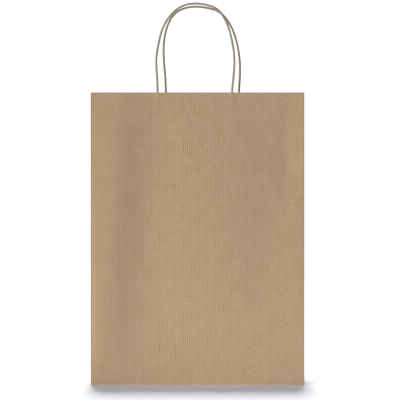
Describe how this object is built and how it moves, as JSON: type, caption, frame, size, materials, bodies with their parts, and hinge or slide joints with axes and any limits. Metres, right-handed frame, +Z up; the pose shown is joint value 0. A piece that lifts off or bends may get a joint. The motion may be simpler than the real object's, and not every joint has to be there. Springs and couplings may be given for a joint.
{
  "type": "paper gift bag",
  "caption": "Upright paper carrier bag with side gussets, a folded block bottom and a pair of twisted paper cord handles; it folds flat.",
  "frame": {"origin": "middle of the base, on the surface that the bag stands on", "axes": "+Z up towards the handles, +Y from the front panel to the back panel, +X to the right seen from the front"},
  "size_m": [0.27, 0.1196, 0.4848],
  "materials": {
    "ribbed_kraft": "matte, fine vertical ribs",
    "patch_kraft": "matte, smooth",
    "twisted_cord": "matte, tightly twisted plies"
  },
  "bodies": {
    "back": {"back_panel": "ribbed_kraft", "side_seam_flap": "ribbed_kraft", "bottom_front_flap": "ribbed_kraft", "bottom_front_ears": "ribbed_kraft", "bottom_rear_flap": "ribbed_kraft", "bottom_rear_ears": "ribbed_kraft", "bottom_left_flap": "ribbed_kraft", "bottom_right_flap": "ribbed_kraft", "rear_handle_backing": "patch_kraft", "rear_handle_cover": "patch_kraft", "rear_handle_cord_ends": "twisted_cord"},
    "right_rear_half": {"right_gusset_rear_half": "ribbed_kraft"},
    "right_front_half": {"right_gusset_front_half": "ribbed_kraft"},
    "left_rear_half": {"left_gusset_rear_half": "ribbed_kraft"},
    "left_front_half": {"left_gusset_front_half": "ribbed_kraft"},
    "front": {"front_panel": "ribbed_kraft", "front_handle_backing": "patch_kraft", "front_handle_cover": "patch_kraft", "front_handle_cord_ends": "twisted_cord"},
    "front_handle": {"front_handle_loop": "twisted_cord"},
    "rear_handle": {"rear_handle_loop": "twisted_cord"}
  },
  "joints": [
    {"name": "fold", "type": "hinge", "parent": "back", "child": "right_rear_half", "pos_m": [0.135, 0.05977, 0.185], "axis": [0, 0, -1], "range_deg": [0, 79], "deforming": ["bottom_front_flap", "bottom_front_ears", "bottom_rear_flap", "bottom_rear_ears", "bottom_left_flap", "bottom_right_flap"]},
    {"name": "right_crease", "type": "hinge", "parent": "right_rear_half", "child": "right_front_half", "pos_m": [0.12977, 0, 0.185], "axis": [0, 0, 1], "range_deg": [0, 158]},
    {"name": "right_front_corner", "type": "hinge", "parent": "right_front_half", "child": "front", "pos_m": [0.135, -0.05977, 0.185], "axis": [0, 0, -1], "range_deg": [0, 79]},
    {"name": "left_rear_corner", "type": "hinge", "parent": "back", "child": "left_rear_half", "pos_m": [-0.135, 0.05977, 0.185], "axis": [0, 0, 1], "range_deg": [0, 79]},
    {"name": "left_crease", "type": "hinge", "parent": "left_rear_half", "child": "left_front_half", "pos_m": [-0.12977, 0, 0.185], "axis": [0, 0, -1], "range_deg": [0, 158]},
    {"name": "front_handle_bend", "type": "hinge", "parent": "front", "child": "front_handle", "pos_m": [-0.0036, -0.05805, 0.3725], "axis": [1, 0, 0], "range_deg": [-28, 100], "stiffness_Nm_per_rad": 0.02},
    {"name": "rear_handle_bend", "type": "hinge", "parent": "back", "child": "rear_handle", "pos_m": [0.0061, 0.05805, 0.3725], "axis": [-1, 0, 0], "range_deg": [-28, 100], "stiffness_Nm_per_rad": 0.02}
  ],
  "couplings": [
    {"joint": "right_crease", "follows": "fold", "ratio": 2},
    {"joint": "right_front_corner", "follows": "fold", "ratio": 1},
    {"joint": "left_rear_corner", "follows": "fold", "ratio": 1},
    {"joint": "left_crease", "follows": "fold", "ratio": 2}
  ]
}
